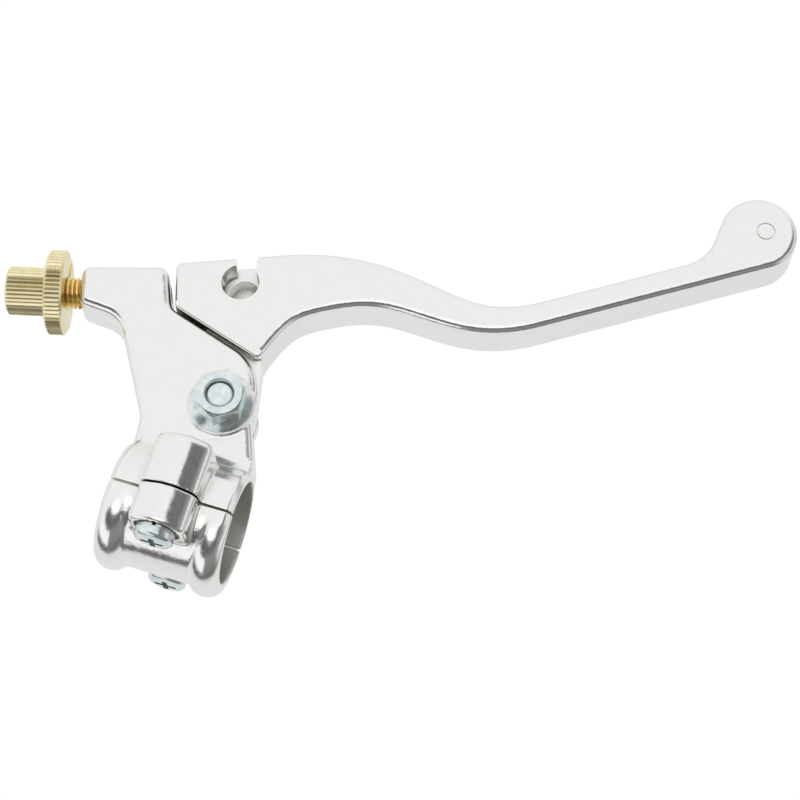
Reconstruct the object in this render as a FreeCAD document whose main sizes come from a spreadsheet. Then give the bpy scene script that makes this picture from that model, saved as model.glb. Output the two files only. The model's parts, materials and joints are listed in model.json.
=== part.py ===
import FreeCAD, Part
import math
import os

import Sketcher
from FreeCAD import Placement, Rotation, Vector

# Motorcycle clutch lever and perch. Millimetres.
# Origin: centre of the handlebar bore. +X runs along the bar towards the ball end,
# +Y points forward from the bar to the lever, +Z is the side that carries the pivot nut.

SIZES = {
    # handlebar clamp
    "bar_radius": 11.1,
    "clamp_half_length": 13.4,
    "clamp_half_gap": 0.2,
    "clamp_reach": 40.0,
    "saddle_radius": 13.1,
    "saddle_rounding": 1.2,
    "saddle_inset": 1.0,
    "web_radius": 5.0,
    "web_left": 11.4,
    "web_right": 12.6,
    "web_root": 1.0,
    "rib_shift": 1.8,
    "rib_crest": 10.4,
    "rib_half_width": 3.2,
    "rib_height": 1.7,
    "rib_root": 4.1,
    "boss_foot": 1.0,
    "boss_half_width": 6.9,
    "boss_lean": 0.7,
    "boss_shoulder": 17.5,
    "boss_shoulder_radius": 3.0,
    "boss_top": 19.7,
    "boss_peak": 0.6,
    "boss_dome_radius": 6.0,
    "boss_reach": 11.8,
    "boss_end_level": 10.5,
    "boss_rounding": 2.0,
    "cap_boss_rounding": 1.2,
    "boss_drop": 8.7,
    "screw_height": 14.3,
    "screw_seat": 7.7,
    "screw_radius": 2.5,
    "screw_clearance": 2.75,
    "tapped_radius": 2.52,
    "tapped_depth": 10.6,
    "counterbore_radius": 4.7,
    "counterbore_depth": 12.0,
    # clamp screws and spring washers
    "head_radius": 4.2,
    "head_height": 2.5,
    "head_crown": 0.9,
    "head_shoulder_in": 0.45,
    "head_shoulder_drop": 0.36,
    "head_flat_in": 1.62,
    "screw_length": 17.5,
    "screw_point": 0.5,
    "recess_width": 1.2,
    "recess_span": 4.8,
    "recess_depth": 1.7,
    "washer_bore": 2.6,
    "washer_radius": 4.15,
    "washer_thickness": 1.2,
    "washer_split": 0.8,
    "split_overrun": 1.0,
    # perch plate and pivot
    "plate_thickness": 12.0,
    "plate_rounding": 2.0,
    "pivot_x": 2.3,
    "pivot_y": 24.7,
    "pad_radius": 7.25,
    "pad_height": 0.8,
    "slot_height": 7.2,
    "slot_radius": 7.8,
    "slot_left": 9.9,
    "slot_reach": 50.0,
    "slot_side_angle": 20.0,
    "slot_side_x": 22.0,
    "slot_side_y": 18.0,
    "shoulder_radius": 3.5,
    "running_radius": 3.54,
    "stud_radius": 3.0,
    # lever
    "lever_thickness": 12.0,
    "lever_rounding": 1.6,
    "head_rounding": 0.6,
    "tongue_thickness": 6.8,
    "tongue_radius": 7.2,
    "bush_radius": 4.9,
    "nipple_x": -2.9,
    "nipple_y": 53.1,
    "nipple_radius": 4.15,
    "ledge_depth": 6.6,
    "relief_radius": 3.45,
    "relief_shift": 0.65,
    "relief_depth": 10.8,
    "notch_width": 4.5,
    "notch_shift": 1.2,
    "notch_angle": 17.0,
    "notch_flare_left": 0.5,
    "notch_flare_right": 1.6,
    "wire_slot_height": 2.0,
    "wire_slot_width": 2.4,
    "wire_slot_length": 20.0,
    "blade_angle": 32.5,
    "ball_x": 102.4,
    "ball_y": 97.6,
    "ball_radius": 8.45,
    "mark_shift_x": 1.3,
    "mark_shift_y": 0.5,
    "mark_radius": 2.1,
    "mark_line": 0.35,
    "mark_depth": 0.22,
    # pivot nut and pivot bolt
    "nut_flats": 10.0,
    "nut_turn": 32.0,
    "nut_height": 5.8,
    "nut_bore_radius": 3.02,
    "nut_crown_radius": 4.8,
    "nut_crown_overhang": 0.5,
    "nut_crown_drop": 0.8,
    "countersink_radius": 3.3,
    "countersink_depth": 0.6,
    "flange_radius": 6.9,
    "flange_edge": 0.45,
    "flange_height": 1.6,
    "flange_cone": 3.0,
    "bolt_flange": 1.0,
    "bolt_head_height": 3.6,
    "shoulder_recess": 0.3,
    "stud_point": 0.55,
    "stud_recess": 0.9,
    # cable adjuster
    "adjuster_x": -36.3,
    "adjuster_y": 43.0,
    "adjuster_angle": 14.0,
    "mouth_half_width": 4.4,
    "mouth_rounding": 2.1,
    "thread_radius": 3.5,
    "thread_pitch": 1.0,
    "thread_depth": 0.55,
    "thread_half_mouth": 0.44,
    "thread_overrun": 0.1,
    "thread_run_in": 0.5,
    "thread_inside": 11.0,
    "socket_radius": 3.56,
    "socket_depth": 14.5,
    "wheel_gap": 3.5,
    "wheel_thickness": 4.0,
    "wheel_radius": 9.35,
    "grip_gap": 0.05,
    "grip_length": 9.0,
    "grip_radius": 5.35,
    "knurl_depth": 0.35,
    "knurl_chamfer": 0.7,
    "bevel_overrun": 0.2,
    "casing_radius": 3.05,
    "casing_depth": 8.0,
    "wire_radius": 1.3,
    "wire_hole_length": 30.0,
    "perch_slot_width": 12.0,
    "perch_slot_length": 25.0,
    "cable_slot_width": 2.5,
    "slot_overrun": 2.0,
}

GRIP_RIDGES = 36
WHEEL_RIDGES = 60
TOUCHING = 1e-6

# Corners of the lever's head in plan.
HEAD_FRONT = (-18.0, 53.8)
FRONT_ROOT = (1.1, 61.4)
REAR_ROOT = (7.6, 40.4)
REAR_CORNER = (6.5, 37.0)
HEAD_REAR = (-14.8, 43.65)
HEAD_FRONT_RADIUS = 1.6
REAR_CORNER_RADIUS = 1.5
HEAD_REAR_RADIUS = 2.2
NEAR_EDGE = 1.0

# Where the plate's rounded outer edges lie in plan: left of the arm and the front.
ARM_SIDE = -12.5
FRONT_SIDE = -19.5
FRONT_STARTS = 41.0


class Size:
    """A number together with the spreadsheet expression that gives it."""

    def __init__(self, value, text=None):
        self.value = float(value)
        self.text = text if text else repr(float(value))

    def _join(self, other, sign, result):
        return Size(result, "(%s %s %s)" % (self.text, sign, other.text))

    def __add__(self, other):
        other = as_size(other)
        return self._join(other, "+", self.value + other.value)

    def __sub__(self, other):
        other = as_size(other)
        return self._join(other, "-", self.value - other.value)

    def __mul__(self, other):
        other = as_size(other)
        return self._join(other, "*", self.value * other.value)

    def __truediv__(self, other):
        other = as_size(other)
        return self._join(other, "/", self.value / other.value)

    def __neg__(self):
        return Size(-self.value, "(-1 * %s)" % self.text)


def as_size(number):
    return number if isinstance(number, Size) else Size(number)


def size(name):
    return Size(SIZES[name], "Sizes." + name)


def make_sheet(doc):
    sheet = doc.addObject("Spreadsheet::Sheet", "Sizes")
    for row, (name, value) in enumerate(SIZES.items(), start=1):
        sheet.set("A%d" % row, name)
        sheet.set("B%d" % row, str(value))
        sheet.setAlias("B%d" % row, name)
    doc.recompute()
    return sheet


# ---------------------------------------------------------------- modelling helpers

def new_body(doc, label):
    body = doc.addObject("PartDesign::Body", label)
    body.Label = label
    return body


def origin_item(body, role):
    for item in body.Origin.OriginFeatures:
        if item.Role == role:
            return item
    raise ValueError(role)


def new_sketch(body, name, role="XY_Plane", offset=None):
    sketch = body.newObject("Sketcher::SketchObject", name)
    sketch.AttachmentSupport = (origin_item(body, role), "")
    sketch.MapMode = "FlatFace"
    if offset is not None:
        sketch.AttachmentOffset = Placement(Vector(0, 0, offset.value), Rotation())
        sketch.setExpression("AttachmentOffset.Base.z", offset.text)
    return sketch


def fix_point(sketch, geometry, which, x, y):
    """Tie one sketch point to its coordinates; a zero coordinate lies on the axis."""
    for kind, number, axis in (("DistanceX", x, -2), ("DistanceY", y, -1)):
        if abs(number.value) < TOUCHING:
            sketch.addConstraint(Sketcher.Constraint("PointOnObject", geometry, which, axis))
            continue
        index = sketch.addConstraint(
            Sketcher.Constraint(kind, -1, 1, geometry, which, number.value))
        sketch.setExpression("Constraints[%d]" % index, number.text)


def add_polygon(sketch, points):
    """A closed polygon whose corners are bound to the sheet."""
    corners = [(as_size(x), as_size(y)) for x, y in points]
    places = [Vector(x.value, y.value, 0) for x, y in corners]
    first = sketch.GeometryCount
    count = len(places)
    for i in range(count):
        sketch.addGeometry(Part.LineSegment(places[i], places[(i + 1) % count]), False)
    for i in range(count):
        following = first + (i + 1) % count
        sketch.addConstraint(Sketcher.Constraint("Coincident", first + i, 2, following, 1))
    for i, (x, y) in enumerate(corners):
        fix_point(sketch, first + i, 1, x, y)


def add_circle(sketch, x, y, radius):
    x, y, radius = as_size(x), as_size(y), as_size(radius)
    circle = Part.Circle(Vector(x.value, y.value, 0), Vector(0, 0, 1), radius.value)
    geometry = sketch.addGeometry(circle, False)
    fix_point(sketch, geometry, 3, x, y)
    index = sketch.addConstraint(Sketcher.Constraint("Radius", geometry, radius.value))
    sketch.setExpression("Constraints[%d]" % index, radius.text)


def line(start, end):
    return Part.LineSegment(Vector(*start, 0), Vector(*end, 0))


def arc(start, middle, end):
    return Part.Arc(Vector(*start, 0), Vector(*middle, 0), Vector(*end, 0))


def curve(points, start_angle, end_angle):
    """A smooth curve through a few stations, leaving and arriving at given angles."""
    places = [Vector(x, y, 0) for x, y in points]
    tangents = []
    for angle in (start_angle, end_angle):
        radians = math.radians(angle)
        tangents.append(Vector(math.cos(radians), math.sin(radians), 0))
    spline = Part.BSplineCurve()
    spline.interpolate(Points=places, InitialTangent=tangents[0], FinalTangent=tangents[1])
    return spline


def heading(start, end):
    return math.degrees(math.atan2(end[1] - start[1], end[0] - start[0]))


def rounded_corner(before, corner, after, radius):
    """Tangent arc that rounds one corner, as its start, middle and end points."""
    incoming, outgoing = heading(corner, before), heading(corner, after)
    opening = math.radians((outgoing - incoming) % 360)
    half = min(opening, 2 * math.pi - opening) / 2
    reach = radius / math.tan(half)
    to_before = Vector(before[0] - corner[0], before[1] - corner[1], 0).normalize()
    to_after = Vector(after[0] - corner[0], after[1] - corner[1], 0).normalize()
    bisector = (to_before + to_after).normalize()
    tip = Vector(corner[0], corner[1], 0)
    middle = tip + bisector * (radius / math.sin(half) - radius)
    ends = (tip + to_before * reach, middle, tip + to_after * reach)
    return [(point.x, point.y) for point in ends]


def rounded_chain(corners, closed=True):
    """Straight runs between corners given as (x, y, radius), joined by tangent arcs."""
    points = [(x, y) for x, y, radius in corners]
    count = len(corners)
    joints = []
    for i, (x, y, radius) in enumerate(corners):
        is_end = not closed and i in (0, count - 1)
        if radius == 0 or is_end:
            joints.append([(x, y)])
        else:
            joints.append(rounded_corner(points[i - 1], (x, y), points[(i + 1) % count], radius))
    pieces = []
    for i, joint in enumerate(joints):
        if len(joint) == 3:
            pieces.append(arc(*joint))
        if closed or i < count - 1:
            pieces.append(line(joint[-1], joints[(i + 1) % count][0]))
    return pieces


def add_outline(sketch, pieces):
    """A closed chain of lines, arcs and curves, held where it is drawn."""
    for piece in pieces:
        geometry = sketch.addGeometry(piece, False)
        if not isinstance(piece, Part.BSplineCurve):
            sketch.addConstraint(Sketcher.Constraint("Block", geometry))


def pad(body, name, sketch, length, side="One side", reverse=False):
    feature = body.newObject("PartDesign::Pad", name)
    feature.Profile = sketch
    feature.SideType = side
    feature.Reversed = reverse
    feature.setExpression("Length", as_size(length).text)
    return feature


def pocket(body, name, sketch, length, side="One side", reverse=False):
    feature = body.newObject("PartDesign::Pocket", name)
    feature.Profile = sketch
    feature.SideType = side
    feature.Reversed = reverse
    feature.setExpression("Length", as_size(length).text)
    return feature


def turn(body, name, sketch, axis="V_Axis", angle=360, cut=False, symmetric=False):
    kind = "PartDesign::Groove" if cut else "PartDesign::Revolution"
    feature = body.newObject(kind, name)
    feature.Profile = sketch
    feature.ReferenceAxis = (sketch, [axis])
    feature.Angle = angle
    feature.Midplane = symmetric
    return feature


def drill(body, name, radius, depth, place):
    hole = body.newObject("PartDesign::SubtractiveCylinder", name)
    hole.setExpression("Radius", as_size(radius).text)
    hole.setExpression("Height", as_size(depth).text)
    hole.Placement = place
    return hole


def mill(body, name, sides, place):
    cut = body.newObject("PartDesign::SubtractiveBox", name)
    for side, length in zip(("Length", "Width", "Height"), sides):
        cut.setExpression(side, as_size(length).text)
    cut.Placement = place
    return cut


def round_edges(body, name, base, chosen, radius):
    feature = body.newObject("PartDesign::Fillet", name)
    feature.Base = (base, chosen)
    feature.setExpression("Radius", as_size(radius).text)
    return feature


def edges_at(shape, axis, levels, wanted):
    """Names of the edges lying wholly at one level along an axis and passing the test."""
    names = []
    for number, edge in enumerate(shape.Edges, start=1):
        box = edge.BoundBox
        low, high = getattr(box, axis + "Min"), getattr(box, axis + "Max")
        for level in levels:
            flat = abs(low - level) < TOUCHING and abs(high - level) < TOUCHING
            if flat and wanted(box.Center):
                names.append("Edge%d" % number)
    return names


def along(direction_angle, point):
    """A placement at a point whose own Z axis lies in the XY plane at the given angle."""
    radians = math.radians(direction_angle)
    direction = Vector(math.cos(radians), math.sin(radians), 0)
    return Placement(point, Rotation(Vector(), Vector(0, 0, 1), direction, "ZXY"))


def place_at_pivot(body):
    body.setExpression("Placement.Base.x", "Sizes.pivot_x")
    body.setExpression("Placement.Base.y", "Sizes.pivot_y")


# ---------------------------------------------------------------- shared positions

def adjuster_mouth():
    return Vector(SIZES["adjuster_x"], SIZES["adjuster_y"], 0)


def adjuster_inward():
    radians = math.radians(SIZES["adjuster_angle"])
    return Vector(math.cos(radians), math.sin(radians), 0)


def adjuster_placement():
    """Own Z points out of the perch along the cable; own Y points forward."""
    outward = adjuster_inward() * -1
    up = Vector(0, 0, 1)
    return Placement(adjuster_mouth(), Rotation(up, outward.cross(up), outward, "ZXY"))


def polar(centre, radius, degrees):
    radians = math.radians(degrees)
    return (centre[0] + radius * math.cos(radians), centre[1] + radius * math.sin(radians))


# ---------------------------------------------------------------- perch and clamp

def boss_outline(sketch):
    """Screw bosses in section across the bar: leaning flanks under a domed top."""
    half = SIZES["boss_half_width"]
    neck = half - SIZES["boss_lean"]
    for sign in (1, -1):
        foot = sign * SIZES["boss_foot"]
        shoulder = sign * SIZES["boss_shoulder"]
        peak = sign * (SIZES["boss_top"] + SIZES["boss_peak"])
        add_outline(sketch, rounded_chain([
            (-half, foot, 0),
            (-neck, shoulder, SIZES["boss_shoulder_radius"]),
            (0, peak, SIZES["boss_dome_radius"]),
            (neck, shoulder, SIZES["boss_shoulder_radius"]),
            (half, foot, 0),
        ]))


def web_outline(sketch):
    """Concave fillet from the plate's faces up to the saddle, in section across the bar."""
    radius, plate = SIZES["web_radius"], SIZES["plate_thickness"] / 2
    height = plate + radius
    centre = (math.sqrt((SIZES["saddle_radius"] + radius) ** 2 - height ** 2), height)
    toward_bar = heading(centre, (0, 0))
    middle = polar(centre, radius, (toward_bar - 90) / 2)
    saddle_end = polar(centre, radius, toward_bar)
    root = plate - SIZES["web_root"]
    for sign in (1, -1):
        corners = [(centre[0], plate), middle, saddle_end, (saddle_end[0], root), (centre[0], root)]
        plate_point, middle_point, saddle_point, inner, outer = [(y, sign * z) for y, z in corners]
        add_outline(sketch, [
            arc(plate_point, middle_point, saddle_point),
            line(saddle_point, inner),
            line(inner, outer),
            line(outer, plate_point),
        ])


def perch_outline():
    """Plan of the bracket plate: boss, front, diagonal, pivot ear and arm, as (x, y, radius)."""
    mouth = (SIZES["adjuster_x"], SIZES["adjuster_y"])
    side = SIZES["adjuster_angle"] + 90
    front_mouth = polar(mouth, SIZES["mouth_half_width"], side)
    rear_mouth = polar(mouth, -SIZES["mouth_half_width"], side)
    rounding = SIZES["mouth_rounding"]
    front_corner = (-19.4, 52.5, 2.4)
    throat = (-15.6, 43.45, 2.8)
    ear_corner = (7.0, 36.2, 11.0)
    waist = (9.5, 23.0, 12.0)
    right_root = (12.9, 14.2, 0)
    right_foot = (13.2, 10.4, 0)
    left_foot = (-13.0, 10.4, 0)
    arm_low = (-13.6, 17.4, 8.0)
    arm_top = (-25.6, 38.0, 7.0)
    return rounded_chain([
        (*rear_mouth, rounding), (*front_mouth, rounding), front_corner, throat, ear_corner,
        waist, right_root, right_foot, left_foot, arm_low, arm_top,
    ])


def perch_body(doc):
    body = new_body(doc, "perch_body")
    thickness = size("plate_thickness")
    half = SIZES["plate_thickness"] / 2

    plan = new_sketch(body, "plate_plan")
    add_outline(plan, perch_outline())
    plate = pad(body, "plate", plan, thickness, side="Symmetric")
    doc.recompute()
    outer = edges_at(plate.Shape, "Z", (half, -half), is_soft_perch_edge)
    round_edges(body, "plate_edges", plate, outer, size("plate_rounding"))

    pad_plan = new_sketch(body, "pivot_pad_plan")
    add_circle(pad_plan, size("pivot_x"), size("pivot_y"), size("pad_radius"))
    pad(body, "pivot_pad", pad_plan, thickness + size("pad_height") * 2, side="Symmetric")

    saddle = new_sketch(body, "saddle_section")
    end, top, soft = (size("clamp_half_length"), size("saddle_radius"), size("saddle_rounding"))
    inner = size("bar_radius") - size("saddle_inset")
    add_polygon(saddle, [
        (-end, inner), (-end, top - soft), (soft - end, top),
        (end - soft, top), (end, top - soft), (end, inner),
    ])
    turn(body, "saddle", saddle, axis="H_Axis", angle=180, symmetric=True)

    web = new_sketch(body, "web_section", "YZ_Plane", offset=-size("web_left"))
    web_outline(web)
    pad(body, "web", web, size("web_left") + size("web_right"))

    boss = new_sketch(body, "screw_boss_section", "XZ_Plane")
    boss_outline(boss)
    bosses = pad(body, "screw_bosses", boss, size("boss_reach"), reverse=True)
    doc.recompute()
    ends = edges_at(bosses.Shape, "Y", [SIZES["boss_reach"]], is_boss_end)
    round_edges(body, "boss_ends", bosses, ends, size("boss_rounding"))

    cut_bar_bore(body)
    cut_split(body, toward_lever=True)
    cut_screw_holes(body, size("tapped_radius"), size("tapped_depth"), toward_lever=True)

    slot = new_sketch(body, "tongue_slot_plan")
    add_outline(slot, tongue_slot_outline())
    pocket(body, "tongue_slot", slot, size("slot_height"), side="Symmetric")

    drill_plan = new_sketch(body, "pivot_hole_plan")
    add_circle(drill_plan, size("pivot_x"), size("pivot_y"), size("running_radius"))
    pocket(body, "pivot_hole", drill_plan, thickness * 2, side="Symmetric")

    inward = SIZES["adjuster_angle"]
    drill(body, "adjuster_socket", size("socket_radius"), size("socket_depth"),
          along(inward, adjuster_mouth()))
    drill(body, "wire_hole", size("wire_radius"), size("wire_hole_length"),
          along(inward, adjuster_mouth()))
    corner = Vector(-SIZES["wire_radius"], 0, -SIZES["perch_slot_length"])
    mill(body, "cable_slot",
         (size("wire_radius") * 2, size("perch_slot_width"), size("perch_slot_length")),
         adjuster_placement().multiply(Placement(corner, Rotation())))
    return body


def is_soft_perch_edge(centre):
    """Outer edges of the adjuster boss and the arm, not those facing the lever."""
    faces_arm = centre.x < ARM_SIDE and centre.y < FRONT_STARTS
    faces_front = centre.x < FRONT_SIDE and centre.y > FRONT_STARTS
    return faces_arm or faces_front


def is_boss_end(centre):
    """Edges round a screw boss's end, not those lying along the saddle."""
    return abs(centre.z) > SIZES["boss_end_level"]


def tongue_slot_outline():
    """Open to the front and to the lever's side, round behind the pivot."""
    pivot = (SIZES["pivot_x"], SIZES["pivot_y"])
    radius, side_angle = SIZES["slot_radius"], -SIZES["slot_side_angle"]
    open_side = polar(pivot, radius, side_angle)
    wall = polar(pivot, radius, 180)
    behind = polar(pivot, radius, (side_angle - 180) / 2)
    side = (SIZES["slot_side_x"], SIZES["slot_side_y"])
    front_side = (SIZES["slot_side_x"], SIZES["slot_reach"])
    front_wall = (-SIZES["slot_left"], SIZES["slot_reach"])
    return [
        arc(wall, behind, open_side),
        line(open_side, side),
        line(side, front_side),
        line(front_side, front_wall),
        line(front_wall, wall),
    ]


def cut_bar_bore(body):
    bore = new_sketch(body, "bar_bore_section", "YZ_Plane")
    add_circle(bore, 0, 0, size("bar_radius"))
    pocket(body, "bar_bore", bore, size("clamp_reach"), side="Symmetric")


def cut_split(body, toward_lever):
    """Remove everything past this half's own face of the split."""
    reach = size("clamp_reach")
    gap = size("clamp_half_gap")
    split = new_sketch(body, "split_section", "XZ_Plane", offset=-gap if toward_lever else gap)
    add_polygon(split, [(-reach, -reach), (reach, -reach), (reach, reach), (-reach, reach)])
    return pocket(body, "split_face", split, reach, reverse=toward_lever)


def cut_screw_holes(body, radius, depth, toward_lever):
    holes = new_sketch(body, "screw_hole_section", "XZ_Plane")
    for height in (size("screw_height"), -size("screw_height")):
        add_circle(holes, 0, height, radius)
    return pocket(body, "screw_holes", holes, depth, reverse=not toward_lever)


def clamp_cap(doc):
    body = new_body(doc, "clamp_cap")
    end, top, soft = (size("clamp_half_length"), size("saddle_radius"), size("saddle_rounding"))
    inner = size("bar_radius") - size("saddle_inset")
    band = new_sketch(body, "band_section")
    add_polygon(band, [
        (-end, -inner), (-end, soft - top), (soft - end, -top),
        (end - soft, -top), (end, soft - top), (end, -inner),
    ])
    turn(body, "band", band, axis="H_Axis", angle=180, symmetric=True)

    ribs = new_sketch(body, "rib_section")
    half, shift = SIZES["clamp_half_length"], -SIZES["rib_shift"]
    rib_axis = ribs.addGeometry(line((-half, shift), (half, shift)), True)
    ribs.addConstraint(Sketcher.Constraint("Block", rib_axis))
    for side in (-1, 1):
        add_outline(ribs, rib_profile(side))
    turn(body, "ribs", ribs, axis="Axis0", angle=360)

    boss = new_sketch(body, "screw_boss_section", "XZ_Plane")
    boss_outline(boss)
    bosses = pad(body, "screw_bosses", boss, size("boss_drop"))
    doc.recompute()
    ends = edges_at(bosses.Shape, "Y", [-SIZES["boss_drop"]], is_boss_end)
    round_edges(body, "boss_ends", bosses, ends, size("cap_boss_rounding"))

    cut_bar_bore(body)
    cut_split(body, toward_lever=False)
    cut_screw_holes(body, size("screw_clearance"), size("counterbore_depth"), toward_lever=False)
    for name, side in (("upper", 1), ("lower", -1)):
        seat = Vector(0, -SIZES["screw_seat"], side * SIZES["screw_height"])
        drill(body, name + "_counterbore", size("counterbore_radius"),
              size("counterbore_depth"), along(-90, seat))
    return body


def rib_profile(side):
    """Bulging rib at one end of the cap, in section along the bar."""
    crest = SIZES["rib_crest"]
    reach = SIZES["rib_half_width"]
    outer = -SIZES["rib_shift"] - SIZES["saddle_radius"]
    foot = outer + SIZES["rib_height"]
    root = outer + SIZES["rib_root"]
    inside, outside = side * (crest - reach), side * (crest + reach)
    return [
        arc((inside, foot), (side * crest, outer), (outside, foot)),
        line((outside, foot), (outside, root)),
        line((outside, root), (inside, root)),
        line((inside, root), (inside, foot)),
    ]


# ---------------------------------------------------------------- clamp fasteners

def mirrored_pair(doc, label, master):
    """Two identical pieces, one above and one below the bar, as one node."""
    twin = doc.addObject("Part::Mirroring", label + "_twin")
    twin.Source = master
    twin.Normal = Vector(0, 0, 1)
    pair = doc.addObject("Part::Compound", label)
    pair.Label = label
    pair.Links = [master, twin]
    return pair


def seat_above_bar(body, distance):
    """Own Z points away from the lever, starting at a distance behind the bar axis."""
    body.Placement = Placement(Vector(0, -distance, SIZES["screw_height"]),
                               Rotation(Vector(1, 0, 0), 90))


def clamp_screws(doc):
    body = new_body(doc, "clamp_screw")
    profile = new_sketch(body, "screw_section", "XZ_Plane")
    shaft, head = size("screw_radius"), size("head_radius")
    rise, crown = size("head_height"), size("head_crown")
    add_polygon(profile, [
        (0, -size("screw_length")), (shaft - size("screw_point"), -size("screw_length")),
        (shaft, size("screw_point") - size("screw_length")), (shaft, 0), (head, 0),
        (head, rise - crown),
        (head - size("head_shoulder_in"), rise - size("head_shoulder_drop")),
        (head - size("head_flat_in"), rise), (0, rise),
    ])
    turn(body, "screw", profile)
    cross = new_sketch(body, "recess_plan", offset=size("head_height"))
    arm, half = size("recess_span") / 2, size("recess_width") / 2
    add_polygon(cross, [
        (arm, -half), (arm, half), (half, half), (half, arm), (-half, arm), (-half, half),
        (-arm, half), (-arm, -half), (-half, -half), (-half, -arm), (half, -arm), (half, -half),
    ])
    pocket(body, "cross_recess", cross, size("recess_depth"))
    seat_above_bar(body, SIZES["screw_seat"] + SIZES["washer_thickness"])
    return mirrored_pair(doc, "clamp_screws", body)


def spring_washers(doc):
    body = new_body(doc, "spring_washer")
    ring = new_sketch(body, "washer_plan")
    add_circle(ring, 0, 0, size("washer_radius"))
    add_circle(ring, 0, 0, size("washer_bore"))
    pad(body, "washer", ring, size("washer_thickness"))
    split = new_sketch(body, "split_plan")
    half, reach = size("washer_split") / 2, size("washer_radius") + size("split_overrun")
    add_polygon(split, [(-half, 0), (half, 0), (half, reach), (-half, reach)])
    pocket(body, "split", split, size("washer_thickness"), reverse=True)
    seat_above_bar(body, SIZES["screw_seat"])
    return mirrored_pair(doc, "spring_washers", body)


# ---------------------------------------------------------------- lever

def lever_outline():
    """Plan of the lever: head, swept dogleg blade and round ball end."""
    ball = (SIZES["ball_x"], SIZES["ball_y"])
    radius = SIZES["ball_radius"]
    blade_angle = SIZES["blade_angle"]
    neck_angle, tip_angle = 82.0, 55.0
    front_run, rear_run = 31.4, 53.2
    front_blade, neck_middle = (62.0, 68.6), (92.6, 90.0)
    front_neck = polar(front_blade, front_run, blade_angle)
    ball_front = polar(ball, radius, neck_angle + 90)
    ball_rear = polar(ball, radius, blade_angle - 90)
    rear_blade = polar(ball_rear, -rear_run, blade_angle)
    front_curve = [FRONT_ROOT, (11.5, 64.9), (24.0, 66.4), (36.0, 65.2), (47.0, 63.7), front_blade]
    rear_curve = [rear_blade, (47.5, 56.6), (36.0, 56.6), (25.5, 56.0), (15.2, 51.3), REAR_ROOT]
    head = rounded_chain([
        (*REAR_ROOT, 0),
        (*REAR_CORNER, REAR_CORNER_RADIUS),
        (*HEAD_REAR, HEAD_REAR_RADIUS),
        (*HEAD_FRONT, HEAD_FRONT_RADIUS),
        (*FRONT_ROOT, 0),
    ], closed=False)
    return head + [
        curve(front_curve, heading(HEAD_FRONT, FRONT_ROOT), blade_angle),
        line(front_blade, front_neck),
        curve([front_neck, neck_middle, ball_front], blade_angle, neck_angle),
        arc(ball_front, polar(ball, radius, tip_angle), ball_rear),
        line(ball_rear, rear_blade),
        curve(rear_curve, blade_angle + 180, heading(REAR_ROOT, REAR_CORNER)),
    ]


def head_shelf_outline():
    """Strip along the head's edge facing the perch, which is left crisper than the rest."""
    right = rounded_corner(REAR_ROOT, REAR_CORNER, HEAD_REAR, REAR_CORNER_RADIUS)
    left = rounded_corner(REAR_CORNER, HEAD_REAR, HEAD_FRONT, HEAD_REAR_RADIUS)
    inner_left, inner_right = (-10.5, 46.5), (3.0, 42.3)
    return [
        arc(*right),
        line(right[-1], left[0]),
        arc(*left),
        line(left[-1], inner_left),
        line(inner_left, inner_right),
        line(inner_right, right[0]),
    ]


def faces_perch(centre):
    """Within a millimetre of the head's straight edge along the perch."""
    slope = (REAR_CORNER[1] - HEAD_REAR[1]) / (REAR_CORNER[0] - HEAD_REAR[0])
    edge = HEAD_REAR[1] + slope * (centre.x - HEAD_REAR[0])
    return centre.y < edge + NEAR_EDGE


def tongue_outline():
    """Narrow root of the lever that turns between the two ears."""
    pivot = (SIZES["pivot_x"], SIZES["pivot_y"])
    radius = SIZES["tongue_radius"]
    left = polar(pivot, radius, 180)
    right = polar(pivot, radius, 0)
    behind = polar(pivot, radius, -90)
    root_right, root_left = (6.4, 40.5), (-7.3, 45.0)
    return [
        arc(left, behind, right),
        line(right, root_right),
        line(root_right, root_left),
        line(root_left, left),
    ]


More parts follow.
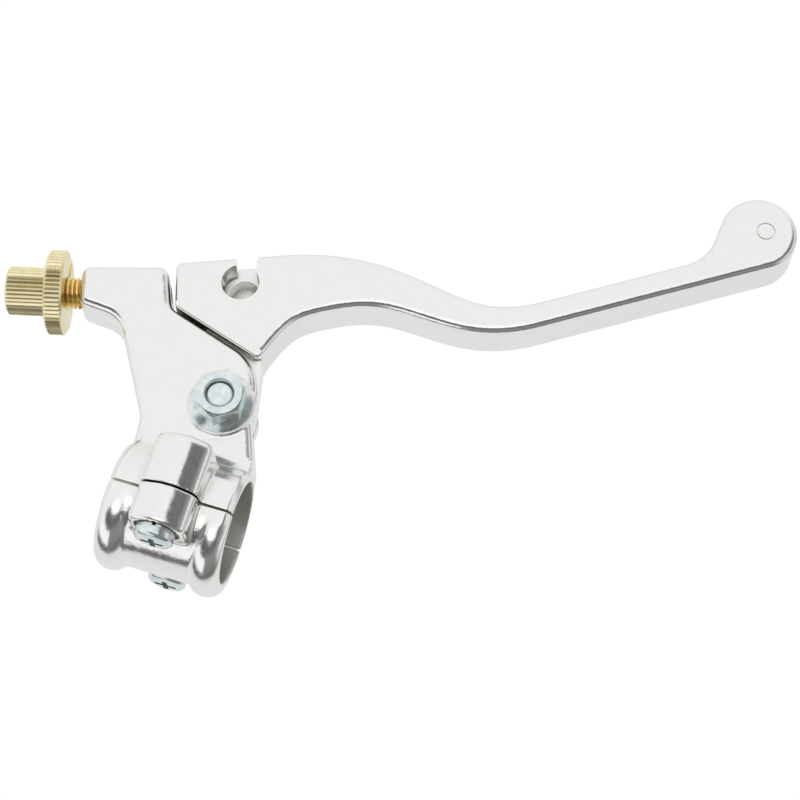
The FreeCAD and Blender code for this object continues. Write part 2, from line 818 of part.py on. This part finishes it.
def lever_blade(doc):
    body = new_body(doc, "lever_blade")
    half = SIZES["lever_thickness"] / 2
    top = size("lever_thickness") / 2
    plan = new_sketch(body, "lever_plan")
    add_outline(plan, lever_outline())
    blade = pad(body, "blade", plan, size("lever_thickness"), side="Symmetric")
    doc.recompute()
    edges = edges_at(blade.Shape, "Z", (half, -half), lambda centre: True)
    round_edges(body, "blade_edges", blade, edges, size("lever_rounding"))

    shelf_plan = new_sketch(body, "head_shelf_plan")
    add_outline(shelf_plan, head_shelf_outline())
    shelf = pad(body, "head_shelf", shelf_plan, size("lever_thickness"), side="Symmetric")
    doc.recompute()
    crisp = edges_at(shelf.Shape, "Z", (half, -half), faces_perch)
    round_edges(body, "head_edges", shelf, crisp, size("head_rounding"))

    tongue = new_sketch(body, "tongue_plan")
    add_outline(tongue, tongue_outline())
    pad(body, "tongue", tongue, size("tongue_thickness"), side="Symmetric")

    hole = new_sketch(body, "bush_hole_plan")
    add_circle(hole, size("pivot_x"), size("pivot_y"), size("bush_radius"))
    pocket(body, "bush_hole", hole, size("lever_thickness"), side="Symmetric")

    x, y = size("nipple_x"), size("nipple_y")
    nipple = new_sketch(body, "nipple_plan", offset=top)
    add_circle(nipple, x, y, size("nipple_radius"))
    pocket(body, "nipple_pocket", nipple, size("ledge_depth"))
    relief = new_sketch(body, "relief_plan", offset=top)
    add_circle(relief, x + size("relief_shift"), y, size("relief_radius"))
    pocket(body, "nipple_relief", relief, size("relief_depth"))
    notch = new_sketch(body, "nipple_notch_plan", offset=top)
    add_outline(notch, nipple_notch_outline())
    pocket(body, "nipple_notch", notch, size("ledge_depth"))
    cut_wire_slit(body)

    mark = new_sketch(body, "ejector_mark_plan", offset=top)
    for radius in (size("mark_radius"), size("mark_radius") - size("mark_line")):
        add_circle(mark, size("ball_x") + size("mark_shift_x"),
                   size("ball_y") + size("mark_shift_y"), radius)
    pocket(body, "ejector_mark", mark, size("mark_depth"))
    return body


def crossing(point, angle, start, end):
    """Where a ray leaving a point at an angle meets the line through two others."""
    radians = math.radians(angle)
    ray = Vector(math.cos(radians), math.sin(radians), 0)
    normal = Vector(start[1] - end[1], end[0] - start[0], 0)
    origin = Vector(*point, 0)
    travel = normal.dot(Vector(*start, 0) - origin) / normal.dot(ray)
    place = origin + ray * travel
    return (place.x, place.y)


def nipple_notch_outline():
    """Notch from the nipple pocket out to the front edge, flared at its mouth."""
    centre = (SIZES["nipple_x"], SIZES["nipple_y"])
    across = SIZES["notch_angle"]
    outward = across + 90
    half = SIZES["notch_width"] / 2
    left_foot = polar(centre, SIZES["notch_shift"] - half, across)
    right_foot = polar(centre, SIZES["notch_shift"] + half, across)
    left_mouth = crossing(left_foot, outward, HEAD_FRONT, FRONT_ROOT)
    right_mouth = crossing(right_foot, outward, HEAD_FRONT, FRONT_ROOT)
    left = rounded_corner(HEAD_FRONT, left_mouth, left_foot, SIZES["notch_flare_left"])
    right = rounded_corner(right_foot, right_mouth, FRONT_ROOT, SIZES["notch_flare_right"])
    beyond_left = polar(left[0], SIZES["notch_width"], outward)
    beyond_right = polar(right[-1], SIZES["notch_width"], outward)
    return [
        line(left_foot, right_foot),
        line(right_foot, right[0]),
        arc(*right),
        line(right[-1], beyond_right),
        line(beyond_right, beyond_left),
        line(beyond_left, left[0]),
        arc(*left),
        line(left[-1], left_foot),
    ]


def cut_wire_slit(body):
    """Slit under the pocket's ledge that the wire swings round into."""
    ledge = SIZES["lever_thickness"] / 2 - SIZES["ledge_depth"]
    centre = Vector(SIZES["nipple_x"], SIZES["nipple_y"], ledge)
    slit_place = Placement(centre, Rotation(Vector(0, 0, 1), 90 + SIZES["adjuster_angle"]))
    corner = Placement(Vector(-SIZES["wire_slot_width"] / 2, 0, 0), Rotation())
    sides = (size("wire_slot_width"), size("wire_slot_length"), size("wire_slot_height"))
    mill(body, "wire_slit", sides, slit_place.multiply(corner))


# ---------------------------------------------------------------- pivot hardware

def pivot_bush(doc):
    body = new_body(doc, "pivot_bush")
    ring = new_sketch(body, "bush_plan")
    add_circle(ring, 0, 0, size("bush_radius"))
    add_circle(ring, 0, 0, size("running_radius"))
    pad(body, "bush", ring, size("tongue_thickness"), side="Symmetric")
    place_at_pivot(body)
    return body


def seat_height():
    return size("plate_thickness") / 2 + size("pad_height")


def hexagon_points(flats):
    radius = flats / math.sqrt(3)
    points = []
    for corner in range(6):
        angle = math.radians(60 * corner + SIZES["nut_turn"])
        points.append((radius * math.cos(angle), radius * math.sin(angle)))
    return points


def pivot_nut(doc):
    body = new_body(doc, "pivot_nut")
    seat, rise = seat_height(), size("nut_height")
    hexagon = new_sketch(body, "nut_plan", offset=seat)
    add_polygon(hexagon, hexagon_points(size("nut_flats")))
    pad(body, "nut", hexagon, rise)

    crown = new_sketch(body, "crown_section", "XZ_Plane")
    corner = size("nut_flats") / math.sqrt(3)
    top = seat + rise
    rim = corner + size("nut_crown_overhang")
    add_polygon(crown, [
        (size("nut_crown_radius"), top), (rim, top), (rim, top - size("nut_crown_drop")),
    ])
    turn(body, "crown", crown, cut=True)

    flange = new_sketch(body, "flange_section", "XZ_Plane")
    add_polygon(flange, [
        (0, seat), (size("flange_radius"), seat),
        (size("flange_radius"), seat + size("flange_edge")),
        (size("nut_flats") / 2, seat + size("flange_height")), (0, seat + size("flange_cone")),
    ])
    turn(body, "flange", flange)

    thread = new_sketch(body, "thread_plan", offset=top)
    add_circle(thread, 0, 0, size("nut_bore_radius"))
    pocket(body, "thread_hole", thread, rise)
    countersink = new_sketch(body, "countersink_section", "XZ_Plane")
    floor = top - size("countersink_depth")
    add_polygon(countersink, [
        (0, top), (size("countersink_radius"), top), (size("nut_bore_radius"), floor), (0, floor),
    ])
    turn(body, "countersink", countersink, cut=True)
    place_at_pivot(body)
    return body


def pivot_bolt(doc):
    body = new_body(doc, "pivot_bolt")
    seat, top = seat_height(), seat_height() + size("nut_height")
    under = -seat
    shoulder, stud, flange = size("shoulder_radius"), size("stud_radius"), size("flange_radius")
    step, tip = seat - size("shoulder_recess"), top - size("stud_recess")
    shaft = new_sketch(body, "shaft_section", "XZ_Plane")
    add_polygon(shaft, [
        (0, under - size("bolt_flange")), (flange, under - size("bolt_flange")), (flange, under),
        (shoulder, under), (shoulder, step), (stud, step),
        (stud, tip - size("stud_point")), (stud - size("stud_point"), tip), (0, tip),
    ])
    turn(body, "shaft", shaft)
    head = new_sketch(body, "head_plan", offset=under)
    add_polygon(head, hexagon_points(size("nut_flats")))
    pad(body, "head", head, size("bolt_head_height"), reverse=True)
    place_at_pivot(body)
    return body


# ---------------------------------------------------------------- cable adjuster

def knurled_disc(body, name, radius, ridges, start, length):
    """A straight-knurled cylinder: one ridge and one valley per tooth."""
    sketch = new_sketch(body, name + "_plan", offset=start)
    low, high = SIZES[radius] - SIZES["knurl_depth"], SIZES[radius]
    corners = []
    for step in range(2 * ridges):
        level = high if step % 2 == 0 else low
        corners.append(polar((0, 0), level, 180.0 * step / ridges))
    pieces = [line(corners[i], corners[(i + 1) % len(corners)]) for i in range(len(corners))]
    add_outline(sketch, pieces)
    return pad(body, name, sketch, length)


def bevel_rim(body, name, radius, level, inward):
    """Turn the knurl down to a cone at one end."""
    cone = new_sketch(body, name + "_section", "XZ_Plane")
    depth = size("knurl_chamfer")
    beyond = size(radius) + size("bevel_overrun")
    step = depth if inward > 0 else -depth
    add_polygon(cone, [(beyond, level), (size(radius) - depth, level), (beyond, level + step)])
    turn(body, name, cone, cut=True)


def adjuster_bolt(doc):
    body = new_body(doc, "adjuster_bolt")
    start = size("wheel_gap") + size("wheel_thickness") + size("grip_gap")
    end = start + size("grip_length")
    knurled_disc(body, "grip", "grip_radius", GRIP_RIDGES, start, size("grip_length"))
    bevel_rim(body, "outer_bevel", "grip_radius", end, -1)

    shank = new_sketch(body, "shank_plan", offset=-size("thread_inside"))
    add_circle(shank, 0, 0, size("thread_radius"))
    pad(body, "shank", shank, size("thread_inside") + start)
    cut_adjuster_thread(body)

    casing = new_sketch(body, "casing_plan", offset=end)
    add_circle(casing, 0, 0, size("casing_radius"))
    pocket(body, "casing_seat", casing, size("casing_depth"))
    wire = new_sketch(body, "wire_plan", offset=end)
    add_circle(wire, 0, 0, size("wire_radius"))
    pocket(body, "wire_hole", wire, end + size("thread_inside"))
    cut_cable_slot(body, end, end + size("thread_inside"))
    body.Placement = adjuster_placement()
    return body


def cut_adjuster_thread(body):
    groove = new_sketch(body, "thread_section", "XZ_Plane")
    radius, depth = size("thread_radius"), size("thread_depth")
    half, beyond = size("thread_half_mouth"), radius + size("thread_overrun")
    level = size("thread_run_in") - size("thread_inside")
    add_polygon(groove, [(beyond, level - half), (beyond, level + half), (radius - depth, level)])
    helix = body.newObject("PartDesign::SubtractiveHelix", "thread")
    helix.Profile = groove
    helix.ReferenceAxis = (groove, ["V_Axis"])
    helix.Mode = "pitch-height-angle"
    helix.setExpression("Pitch", "Sizes.thread_pitch")
    helix.setExpression("Height", (size("thread_inside") + size("wheel_gap")).text)
    return helix


def cut_cable_slot(body, end, length):
    slot = new_sketch(body, "cable_slot_plan", offset=end)
    half = size("cable_slot_width") / 2
    reach = size("wheel_radius") + size("slot_overrun")
    add_polygon(slot, [(-half, 0), (half, 0), (half, reach), (-half, reach)])
    return pocket(body, "cable_slot", slot, length)


def lock_wheel(doc):
    body = new_body(doc, "lock_wheel")
    start = size("wheel_gap")
    end = start + size("wheel_thickness")
    knurled_disc(body, "wheel", "wheel_radius", WHEEL_RIDGES, start, size("wheel_thickness"))
    bevel_rim(body, "outer_bevel", "wheel_radius", end, -1)
    bevel_rim(body, "inner_bevel", "wheel_radius", start, 1)
    bore = new_sketch(body, "bore_plan", offset=end)
    add_circle(bore, 0, 0, size("socket_radius"))
    pocket(body, "bore", bore, size("wheel_thickness"))
    cut_cable_slot(body, end, size("wheel_thickness"))
    body.Placement = adjuster_placement()
    return body


# ---------------------------------------------------------------- checks and files

def check_document(doc):
    for item in doc.Objects:
        for state in ("Invalid", "Error"):
            if state in item.State:
                raise RuntimeError("%s is %s" % (item.Name, state))


def check_node(node):
    shape = node.Shape
    if shape.isNull() or not shape.isValid() or not shape.Solids:
        raise RuntimeError(node.Label + " has no valid solid")


def main():
    doc = FreeCAD.newDocument("clutch_lever")
    make_sheet(doc)
    makers = [
        perch_body, clamp_cap, clamp_screws, spring_washers, lever_blade,
        pivot_bush, pivot_nut, pivot_bolt, adjuster_bolt, lock_wheel,
    ]
    nodes = [maker(doc) for maker in makers]
    doc.recompute()
    check_document(doc)
    for node in nodes:
        check_node(node)
    os.makedirs("parts", exist_ok=True)
    for node in nodes:
        node.Shape.exportStep(os.path.join("parts", node.Label + ".step"))


main()
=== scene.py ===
import json
import math

import bpy
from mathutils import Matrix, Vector


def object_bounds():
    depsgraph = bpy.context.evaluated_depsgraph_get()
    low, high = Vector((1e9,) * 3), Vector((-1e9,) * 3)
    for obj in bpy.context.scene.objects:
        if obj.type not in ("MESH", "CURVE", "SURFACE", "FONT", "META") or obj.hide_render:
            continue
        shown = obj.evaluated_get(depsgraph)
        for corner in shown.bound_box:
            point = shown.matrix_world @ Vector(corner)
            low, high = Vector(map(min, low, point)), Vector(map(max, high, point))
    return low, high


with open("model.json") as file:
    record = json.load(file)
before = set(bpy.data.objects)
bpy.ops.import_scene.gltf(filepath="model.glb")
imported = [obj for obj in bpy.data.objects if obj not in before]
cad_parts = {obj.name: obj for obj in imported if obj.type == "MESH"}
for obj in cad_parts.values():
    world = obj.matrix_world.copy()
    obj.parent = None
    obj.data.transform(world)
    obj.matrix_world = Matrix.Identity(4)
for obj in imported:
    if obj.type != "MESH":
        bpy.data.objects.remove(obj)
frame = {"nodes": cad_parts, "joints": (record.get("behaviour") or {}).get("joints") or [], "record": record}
cad_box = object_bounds()

MM = 0.001
NODES = frame["nodes"]
JOINTS = {joint["name"]: joint for joint in frame["joints"]}
MOUNTS = {mount["name"]: mount for mount in frame["record"]["mounts"]}

# Sizes are in millimetres and angles in degrees, except where a name or comment says otherwise.
ADJUSTER_MOUTH = [value / MM for value in JOINTS["adjuster_turn"]["pos_m"]]
ADJUSTER_AXIS = JOINTS["adjuster_turn"]["axis"]
BORE_RADIUS = MOUNTS["bar_clamp"]["dims"]["r_mm"]

# The photo's viewpoint, from a perspective solve.
CAMERA_AZIMUTH = 16.8
CAMERA_ELEVATION = 67.7
CAMERA_AIM = (37.634, 38.945, 0.0)
CAMERA_DISTANCE = 486.47
CAMERA_LENS = 101.483
CAMERA_SENSOR = 36.0

# The mix node has several inputs called A and B, so they are reached by number.
VALUE_A = 2
VALUE_B = 3
VALUE_OUT = 0
COLOUR_A = 6
COLOUR_B = 7
COLOUR_OUT = 2


# ---------------------------------------------------------------- shader helpers

class Shader:
    """Small wrapper that adds and links nodes in one node tree."""

    def __init__(self, tree):
        self.tree = tree
        tree.nodes.clear()

    def add(self, kind, inputs=None, **settings):
        """A new node. An input is linked if it is given a socket, and set to the value if not."""
        node = self.tree.nodes.new(kind)
        for name, value in settings.items():
            setattr(node, name, value)
        for name, value in (inputs or {}).items():
            if isinstance(value, bpy.types.NodeSocket):
                self.tree.links.new(value, node.inputs[name])
            else:
                node.inputs[name].default_value = value
        return node

    def math(self, operation, a, b=0.0):
        return self.add("ShaderNodeMath", {0: a, 1: b}, operation=operation).outputs[0]

    def total(self, *parts):
        """Sum of (value, weight) parts."""
        result = 0.0
        for value, weight in parts:
            result = self.math("ADD", result, self.math("MULTIPLY", value, weight))
        return result

    def length(self, a, b):
        return self.math("SQRT", self.total((a, a), (b, b)))

    def step(self, value, low, high, to_low=0.0, to_high=1.0):
        """Runs smoothly from to_low to to_high as the value goes from low to high."""
        node = self.add("ShaderNodeMapRange", {
            "Value": value, "From Min": low, "From Max": high,
            "To Min": to_low, "To Max": to_high,
        }, interpolation_type="SMOOTHSTEP")
        return node.outputs["Result"]

    def mix(self, factor, a, b):
        """Colour a where the factor is 0, colour b where it is 1."""
        node = self.add("ShaderNodeMix", {
            "Factor": factor, COLOUR_A: a, COLOUR_B: b,
        }, data_type="RGBA")
        return node.outputs[COLOUR_OUT]

    def mix_value(self, factor, a, b):
        node = self.add("ShaderNodeMix", {"Factor": factor, VALUE_A: a, VALUE_B: b})
        return node.outputs[VALUE_OUT]

    def mix_shader(self, factor, a, b):
        return self.add("ShaderNodeMixShader", {0: factor, 1: a, 2: b}).outputs[0]

    def ramp(self, value, stops):
        """Grey that runs straight from each (position, level) stop to the next, for values 0 to 1."""
        node = self.add("ShaderNodeValToRGB", {"Fac": value})
        points = node.color_ramp.elements
        ready_made = len(points)
        for position, _ in stops[ready_made:]:
            points.new(position)
        for point, (position, level) in zip(points, sorted(stops)):
            point.position = position
            point.color = (level, level, level, 1.0)
        return node.outputs["Color"]

    def open_sky(self, reach):
        """One in the open, and less where surfaces within the reach close in."""
        node = self.add("ShaderNodeAmbientOcclusion", {"Distance": reach * MM},
                        samples=CREVICE_SAMPLES)
        return node.outputs["AO"]

    def noise(self, place, scale, detail, roughness=0.5):
        """Soft random field with about the scale's number of spots to a millimetre."""
        node = self.add("ShaderNodeTexNoise", {
            "Vector": place, "Scale": scale, "Detail": detail, "Roughness": roughness,
        })
        return node.outputs["Fac"]


def colour(r, g, b):
    return (r, g, b, 1.0)


def new_material(name):
    material = bpy.data.materials.new(name)
    material.use_nodes = True
    return material, Shader(material.node_tree)


def row_place(shader):
    """Position in the row frame in millimetres, carried along when the body moves."""
    place = shader.add("ShaderNodeTexCoord").outputs["Object"]
    scaled = shader.add("ShaderNodeVectorMath", {0: place, "Scale": 1 / MM}, operation="SCALE")
    return scaled.outputs[0]


def finish_metal(shader, base, roughness, height, distance, strength):
    """Ends a metal's node tree, with the height turned into a bump of the given distance."""
    bump = shader.add("ShaderNodeBump", {
        "Height": height, "Distance": distance * MM, "Strength": strength,
    })
    surface = shader.add("ShaderNodeBsdfPrincipled", {
        "Base Color": base, "Metallic": 1.0, "Roughness": roughness,
        "Normal": bump.outputs[0],
    })
    shader.add("ShaderNodeOutputMaterial", {"Surface": surface.outputs[0]})


# ---------------------------------------------------------------- materials

WHITE = colour(1, 1, 1)

ALUMINIUM = colour(0.915, 0.912, 0.895)
ALUMINIUM_PALE = colour(0.93, 0.928, 0.915)
ALUMINIUM_PIT = colour(0.62, 0.62, 0.60)
# Painted shade for the castings' crevices and recesses, speckled by the grain.
CASTING_CREVICE_SHADE = colour(0.14, 0.14, 0.11)
CASTING_CREVICE_SHADE_PALE = colour(0.46, 0.46, 0.41)
BORE_GROOVE = colour(0.55, 0.55, 0.52)
BORE_RIDGE = colour(0.74, 0.74, 0.70)

ZINC_BLUE = colour(0.70, 0.80, 0.83)
ZINC_PALE = colour(0.86, 0.90, 0.88)
# Painted shade for the zinc parts' crevices.
ZINC_CREVICE_SHADE = colour(0.34, 0.37, 0.38)

BRASS = colour(0.92, 0.81, 0.48)
BRASS_PALE = colour(0.98, 0.90, 0.62)
# Painted shade for the knurl's valleys.
BRASS_VALLEY_SHADE = colour(0.30, 0.25, 0.08)
THREAD_CREST = colour(0.98, 0.78, 0.38)
# Painted shade for the thread's valleys.
THREAD_VALLEY_SHADE = colour(0.84, 0.61, 0.25)

BRONZE_DARK = colour(0.42, 0.28, 0.14)
BRONZE_PALE = colour(0.66, 0.48, 0.28)

# How far the crevice shading of each metal looks.
CASTING_REACH = 5.0
ZINC_REACH = 1.2
BRASS_REACH = 0.8
CREVICE_SAMPLES = 6

# The turned finish of the bore fades out over this band of depth below the bore's surface.
BORE_FADE = (0.15, 0.3)
BORE_ROUGHNESS = 0.45

# The thread's gold ends inside the lock wheel, this far out from the adjuster's mouth.
THREAD_END = (7.2, 7.5)


def polished_casting(name, bore=False):
    """Polished aluminium with soft waves, faint mottling, fine grain, pits and painted shade darkening its
    crevices.

    With bore, the metal around the handlebar bore is turned instead."""
    material, s = new_material(name)
    place = row_place(s)
    mottle = s.noise(place, scale=0.35, detail=3.0)
    grain = s.noise(place, scale=3.2, detail=4.0, roughness=0.6)
    waves = s.noise(place, scale=0.5, detail=2.0)
    pits = s.add("ShaderNodeTexVoronoi", {"Vector": place, "Scale": 0.8, "Randomness": 1.0})
    no_pit = s.step(pits.outputs["Distance"], 0.03, 0.10)
    base = s.mix(s.step(mottle, 0.3, 0.7), ALUMINIUM, ALUMINIUM_PALE)
    base = s.mix(no_pit, ALUMINIUM_PIT, base)
    # Painted shade: where surfaces close in, the ambient occlusion mask darkens the metal towards the
    # speckled crevice colours.
    crevice_shade = s.mix(s.step(grain, 0.35, 0.7), CASTING_CREVICE_SHADE, CASTING_CREVICE_SHADE_PALE)
    base = s.mix(s.step(s.open_sky(CASTING_REACH), 0.2, 0.68), crevice_shade, base)
    rough = s.step(grain, 0.3, 0.75, 0.13, 0.24)
    if bore:
        base, rough = turned_bore(s, place, base, rough)
    height = s.total((grain, 0.45), (no_pit, 0.7), (mottle, 0.35), (waves, 6.0))
    finish_metal(s, base, rough, height, distance=0.02, strength=0.5)
    return material


def turned_bore(s, place, base, rough):
    """The given colour and roughness, with a duller ringed finish near the bore's surface."""
    split = s.add("ShaderNodeSeparateXYZ", {0: place})
    radius = s.length(split.outputs["Y"], split.outputs["Z"])
    inside = s.step(radius, BORE_RADIUS + BORE_FADE[0], BORE_RADIUS + BORE_FADE[1], 1.0, 0.0)
    rings = s.add("ShaderNodeTexWave", {"Vector": place, "Scale": 1.6, "Distortion": 0.4})
    turned = s.mix(s.step(rings.outputs["Fac"], 0.2, 0.8), BORE_GROOVE, BORE_RIDGE)
    return s.mix(inside, base, turned), s.mix_value(inside, rough, BORE_ROUGHNESS)


def clear_zinc(name):
    """Bright zinc plate with soft clouds of blue passivation, a fine grain and painted shade in its
    crevices.
    """
    material, s = new_material(name)
    place = row_place(s)
    cloud = s.noise(place, scale=0.6, detail=3.0)
    grain = s.noise(place, scale=5.0, detail=3.0)
    base = s.mix(s.step(cloud, 0.35, 0.65), ZINC_BLUE, ZINC_PALE)
    # Painted shade: darker where surfaces close in, by the ambient occlusion mask.
    base = s.mix(s.step(s.open_sky(ZINC_REACH), 0.12, 0.6), ZINC_CREVICE_SHADE, base)
    rough = s.step(grain, 0.3, 0.7, 0.16, 0.30)
    finish_metal(s, base, rough, s.math("ADD", grain, cloud), distance=0.02, strength=0.4)
    return material


def yellow_brass(name, threaded=False):
    """Pale yellow brass, with olive painted shade in the knurl's valleys; with threaded, the thread is a
    deeper gold.
    """
    material, s = new_material(name)
    place = row_place(s)
    cloud = s.noise(place, scale=0.5, detail=3.0)
    grain = s.noise(place, scale=6.0, detail=3.0)
    base = s.mix(s.step(cloud, 0.3, 0.7), BRASS, BRASS_PALE)
    valley_shade = BRASS_VALLEY_SHADE
    if threaded:
        past_thread = s.step(distance_out(s, place), *THREAD_END)
        base = s.mix(past_thread, THREAD_CREST, base)
        valley_shade = s.mix(past_thread, THREAD_VALLEY_SHADE, BRASS_VALLEY_SHADE)
    # Painted shade: the knurl's and the thread's valleys are darkened where surfaces close in, by the
    # ambient occlusion mask.
    base = s.mix(s.step(s.open_sky(BRASS_REACH), 0.5, 0.9), valley_shade, base)
    rough = s.step(grain, 0.3, 0.7, 0.20, 0.34)
    finish_metal(s, base, rough, s.math("ADD", grain, cloud), distance=0.015, strength=0.4)
    return material


def distance_out(s, place):
    """Distance along the adjuster's axis from the mouth of its boss."""
    offset = s.add("ShaderNodeVectorMath", {0: place, 1: ADJUSTER_MOUTH}, operation="SUBTRACT")
    along = s.add("ShaderNodeVectorMath", {
        0: offset.outputs[0], 1: ADJUSTER_AXIS,
    }, operation="DOT_PRODUCT")
    return along.outputs["Value"]


def sintered_bronze(name):
    """Dull grainy bronze for the bush."""
    material, s = new_material(name)
    place = row_place(s)
    grain = s.noise(place, scale=8.0, detail=4.0, roughness=0.7)
    base = s.mix(grain, BRONZE_DARK, BRONZE_PALE)
    rough = s.step(grain, 0.2, 0.8, 0.35, 0.55)
    finish_metal(s, base, rough, grain, distance=0.02, strength=0.6)
    return material


# ---------------------------------------------------------------- studio

# A ramp's colours end at 1, so the levels below are divided by this, and the world's strength is it.
BRIGHTEST = 1.3

# Brightness of the studio against elevation, as (degrees, level), for each side of the room.
WINDOW_LIGHT = [(-90, 0.80), (-24, 0.78), (-20, 0.10), (-8, 0.10), (-4, 1.0), (24, 1.0),
                (29, 0.10), (54, 0.12), (62, 1.2), (78, 1.2), (90, 0.93)]
FRONT_LIGHT = [(-90, 0.80), (-24, 0.78), (-20, 0.16), (-8, 0.14), (-2, 0.22), (26, 0.25),
               (42, 0.12), (54, 0.14), (62, 1.2), (78, 1.2), (90, 0.93)]
RIGHT_LIGHT = [(-90, 0.78), (-24, 0.76), (-18, 0.35), (-4, 0.60), (4, 0.85), (14, 0.80),
               (24, 0.32), (42, 0.26), (50, 0.10), (56, 0.12), (63, 1.0), (90, 0.93)]
OPEN_LIGHT = [(-90, 0.78), (-24, 0.80), (-8, 0.82), (10, 0.90), (90, 0.93)]

# Where one side of the room turns into the next, as the cosine of the level angle from the right
# side, and for the last one from the front.
OPEN_TO_RIGHT = (0.35, 0.75)
WINDOW_TO_FRONT = (-0.07, 0.03)
SIDES_TO_FRONT = (0.25, 0.65)

FLOOR_DROP = 0.2
FLOOR_REACH_M = 3.0
FLOOR_GLOW = 1.04
FLOOR_PAINT = colour(0.85, 0.85, 0.85)
FLOOR_SHADOW = 0.06


def make_studio():
    make_world()
    make_floor()


def make_world():
    """White room with dark bands, which the polished metal mirrors; seen directly it is white."""
    world = bpy.data.worlds.new("studio")
    bpy.context.scene.world = world
    world.use_nodes = True
    s = Shader(world.node_tree)
    direction = s.add("ShaderNodeTexCoord").outputs["Generated"]
    axes = s.add("ShaderNodeSeparateXYZ", {0: direction})
    x, y, z = axes.outputs["X"], axes.outputs["Y"], axes.outputs["Z"]
    # From 0 straight down to 1 straight up.
    elevation = s.math("ADD", s.math("DIVIDE", s.math("ARCSINE", z), math.pi), 0.5)
    # Kept above zero, so that looking straight up or down divides safely.
    level_length = s.math("MAXIMUM", s.length(x, y), 0.001)
    toward_right = s.math("DIVIDE", x, level_length)
    toward_front = s.math("DIVIDE", s.math("MULTIPLY", y, -1.0), level_length)

    def profile(light):
        stops = [((degrees + 90) / 180, level / BRIGHTEST) for degrees, level in light]
        return s.ramp(elevation, stops)

    sides = s.mix(s.step(toward_right, *OPEN_TO_RIGHT), profile(OPEN_LIGHT), profile(RIGHT_LIGHT))
    front = s.mix(s.step(toward_right, *WINDOW_TO_FRONT), profile(WINDOW_LIGHT), profile(FRONT_LIGHT))
    mirrored = s.mix(s.step(toward_front, *SIDES_TO_FRONT), sides, front)
    seen = s.add("ShaderNodeLightPath").outputs["Is Camera Ray"]
    shown = s.mix(seen, mirrored, WHITE)
    back = s.add("ShaderNodeBackground", {"Color": shown, "Strength": BRIGHTEST})
    s.add("ShaderNodeOutputWorld", {"Surface": back.outputs[0]})


def floor_paint():
    """Nearly white with a faint shadow for the camera, plain paint for other rays, clear from below."""
    material, s = new_material("floor")
    glow = s.add("ShaderNodeEmission", {"Color": WHITE, "Strength": FLOOR_GLOW}).outputs[0]
    paint = s.add("ShaderNodeBsdfDiffuse", {"Color": FLOOR_PAINT}).outputs[0]
    clear = s.add("ShaderNodeBsdfTransparent").outputs[0]
    seen = s.add("ShaderNodeLightPath").outputs["Is Camera Ray"]
    from_below = s.add("ShaderNodeNewGeometry").outputs["Backfacing"]
    above = s.mix_shader(seen, paint, s.mix_shader(FLOOR_SHADOW, glow, paint))
    s.add("ShaderNodeOutputMaterial", {"Surface": s.mix_shader(from_below, above, clear)})
    return material


def make_floor():
    """Pale floor just under the lowest point."""
    low = cad_box[0].z - FLOOR_DROP * MM
    corners = [(-1, -1), (1, -1), (1, 1), (-1, 1)]
    mesh = bpy.data.meshes.new("floor")
    mesh.from_pydata([(x * FLOOR_REACH_M, y * FLOOR_REACH_M, low) for x, y in corners], [],
                     [(0, 1, 2, 3)])
    mesh.materials.append(floor_paint())
    floor = bpy.data.objects.new("floor", mesh)
    bpy.context.scene.collection.objects.link(floor)
    # Neither mirrored in the metal nor part of its crevice shading.
    floor.visible_glossy = False
    floor.visible_shadow = False


def make_camera():
    """Stands in front of the bar and looks steeply down on the nut side."""
    data = bpy.data.cameras.new("camera")
    camera = bpy.data.objects.new("camera", data)
    bpy.context.scene.collection.objects.link(camera)
    azimuth = math.radians(CAMERA_AZIMUTH)
    elevation = math.radians(CAMERA_ELEVATION)
    back = Vector((math.sin(azimuth) * math.cos(elevation),
                   -math.cos(azimuth) * math.cos(elevation), math.sin(elevation)))
    camera.location = Vector(CAMERA_AIM) * MM + back * CAMERA_DISTANCE * MM
    camera.rotation_mode = "QUATERNION"
    camera.rotation_quaternion = back.to_track_quat("Z", "Y")
    data.sensor_width = CAMERA_SENSOR
    data.lens = CAMERA_LENS
    # In metres.
    data.clip_start = 0.01
    data.clip_end = 20.0
    bpy.context.scene.camera = camera


# ---------------------------------------------------------------- pieces

BEVEL_SEGMENTS = 3
SHARP_EDGE = 35
WELD_REACH = 0.001


def dress(node, material):
    obj = NODES[node]
    obj.data.materials.clear()
    obj.data.materials.append(material)
    return obj


def soften_casting(obj, grain, passes):
    """Cast look: every edge and inside corner blended over a few tenths of a millimetre."""
    skin = obj.modifiers.new("skin", "REMESH")
    skin.mode = "VOXEL"
    skin.voxel_size = grain * MM
    skin.use_smooth_shade = True
    soft = obj.modifiers.new("soft", "SMOOTH")
    soft.factor = 0.5
    soft.iterations = passes


def bevel_edges(obj, width):
    """Rounds the sharp edges by the given width; the weld joins the CAD faces first."""
    weld = obj.modifiers.new("weld", "WELD")
    weld.merge_threshold = WELD_REACH * MM
    edge = obj.modifiers.new("edge", "BEVEL")
    edge.width = width * MM
    edge.segments = BEVEL_SEGMENTS
    edge.limit_method = "ANGLE"
    edge.angle_limit = math.radians(SHARP_EDGE)
    edge.use_clamp_overlap = True


def dress_pieces():
    casting = polished_casting("polished_casting", bore=True)
    lever = polished_casting("polished_lever")
    zinc = clear_zinc("clear_zinc")
    bronze = sintered_bronze("sintered_bronze")
    soften_casting(dress("perch_body", casting), grain=0.2, passes=5)
    soften_casting(dress("clamp_cap", casting), grain=0.25, passes=12)
    bevel_edges(dress("lever_blade", lever), width=0.2)
    for node in ("clamp_screws", "spring_washers"):
        bevel_edges(dress(node, zinc), width=0.1)
    for node in ("pivot_nut", "pivot_bolt"):
        bevel_edges(dress(node, zinc), width=0.12)
    bevel_edges(dress("pivot_bush", bronze), width=0.1)
    dress("adjuster_bolt", yellow_brass("adjuster_brass", threaded=True))
    dress("lock_wheel", yellow_brass("wheel_brass"))


dress_pieces()
make_studio()
make_camera()
bpy.context.scene.view_settings.view_transform = "Standard"
